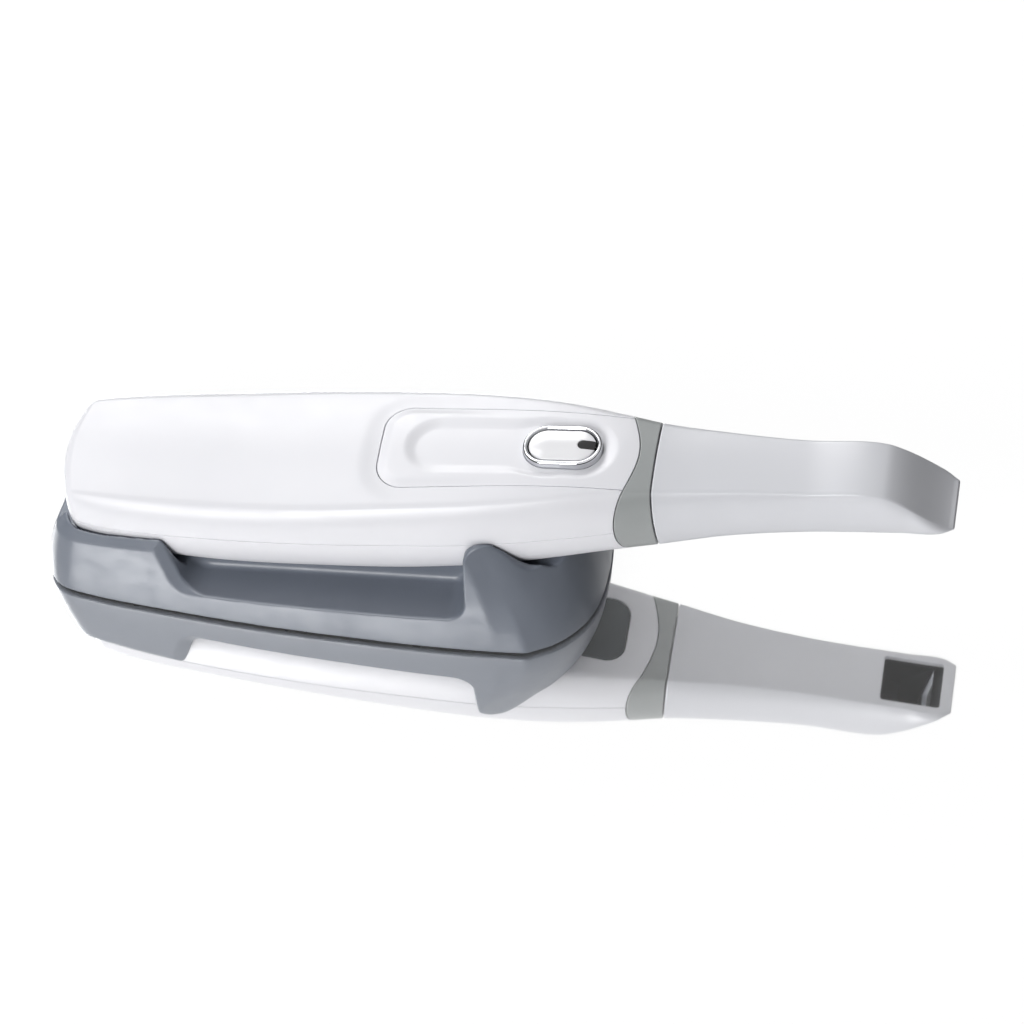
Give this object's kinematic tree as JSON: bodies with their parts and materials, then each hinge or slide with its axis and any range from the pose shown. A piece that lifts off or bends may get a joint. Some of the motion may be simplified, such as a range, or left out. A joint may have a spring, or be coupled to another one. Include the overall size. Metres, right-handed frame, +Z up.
{
  "type": "intraoral scanner with cradle",
  "caption": "Hand-held intraoral 3-D scanner with removable mirror tip and oval button, lying tip-up in a slate-grey desk cradle.",
  "frame": {"origin": "middle of the cradle's rubber foot, on the desk", "axes": "+Z up, +X along the cradle and the wand towards the scanning tip, +Y across"},
  "size_m": [0.2255, 0.0592, 0.0488],
  "materials": {
    "housing": "smooth white moulded ABS",
    "button_panel": "smooth white moulded ABS",
    "belly_panel": "dark grey soft-touch elastomer",
    "bezel": "chrome plated",
    "button_cap": "glossy white",
    "indicator": "smoked light window",
    "collar": "satin mid grey",
    "tip": "satin pale grey autoclavable polymer",
    "mirror": "front-surface mirror",
    "nose": "machined, anodised",
    "window_glass": "coated flat glass",
    "lens_glass": "coated lens",
    "camera": "black moulded barrel",
    "projector": "machined",
    "chassis": "die cast",
    "heat_sink": "extruded",
    "circuit_board": "solder-mask green",
    "switch": "black",
    "socket": "nickel plated",
    "screw": "zinc plated",
    "cradle_shell": "satin slate grey moulded ABS",
    "seat_pad": "silicone",
    "base_plate": "pressed steel",
    "ballast": "cast",
    "base_mat": "matt black rubber"
  },
  "bodies": {
    "cradle": {"cradle_shell": "cradle_shell", "rear_seat_pad": "seat_pad", "front_seat_pad": "seat_pad", "base_plate": "base_plate", "ballast_weight": "ballast", "base_mat": "base_mat", "base_screw_1": "screw", "base_screw_2": "screw", "base_screw_3": "screw", "base_screw_4": "screw"},
    "wand": {"upper_housing": "housing", "lower_housing": "housing", "button_panel": "button_panel", "belly_panel": "belly_panel", "button_bezel": "bezel", "front_collar": "collar", "nose_spigot": "nose", "spigot_mount": "nose", "front_window": "window_glass", "cable_socket": "socket", "chassis_deck": "chassis", "main_board": "circuit_board", "heat_sink": "heat_sink", "camera_module": "camera", "projector_module": "projector", "camera_lens": "lens_glass", "projector_lens": "lens_glass", "button_board": "circuit_board", "button_switch": "switch", "housing_screw_1": "screw", "housing_screw_2": "screw"},
    "button": {"scan_button": "button_cap", "indicator_lens": "indicator"},
    "tip": {"tip_sleeve": "tip", "tip_mirror": "mirror"}
  },
  "joints": [
    {"name": "lift_off", "type": "slide", "parent": "cradle", "child": "wand", "axis": [-0.0872, 0, 0.9962], "range_m": [0, 0.06]},
    {"name": "scan_button_press", "type": "slide", "parent": "wand", "child": "button", "axis": [0.0872, 0, -0.9962], "range_m": [0, 0.0007], "stiffness_N_per_m": 1500},
    {"name": "tip_pull_off", "type": "slide", "parent": "wand", "child": "tip", "axis": [0.9962, 0, 0.0872], "range_m": [0, 0.04]}
  ]
}
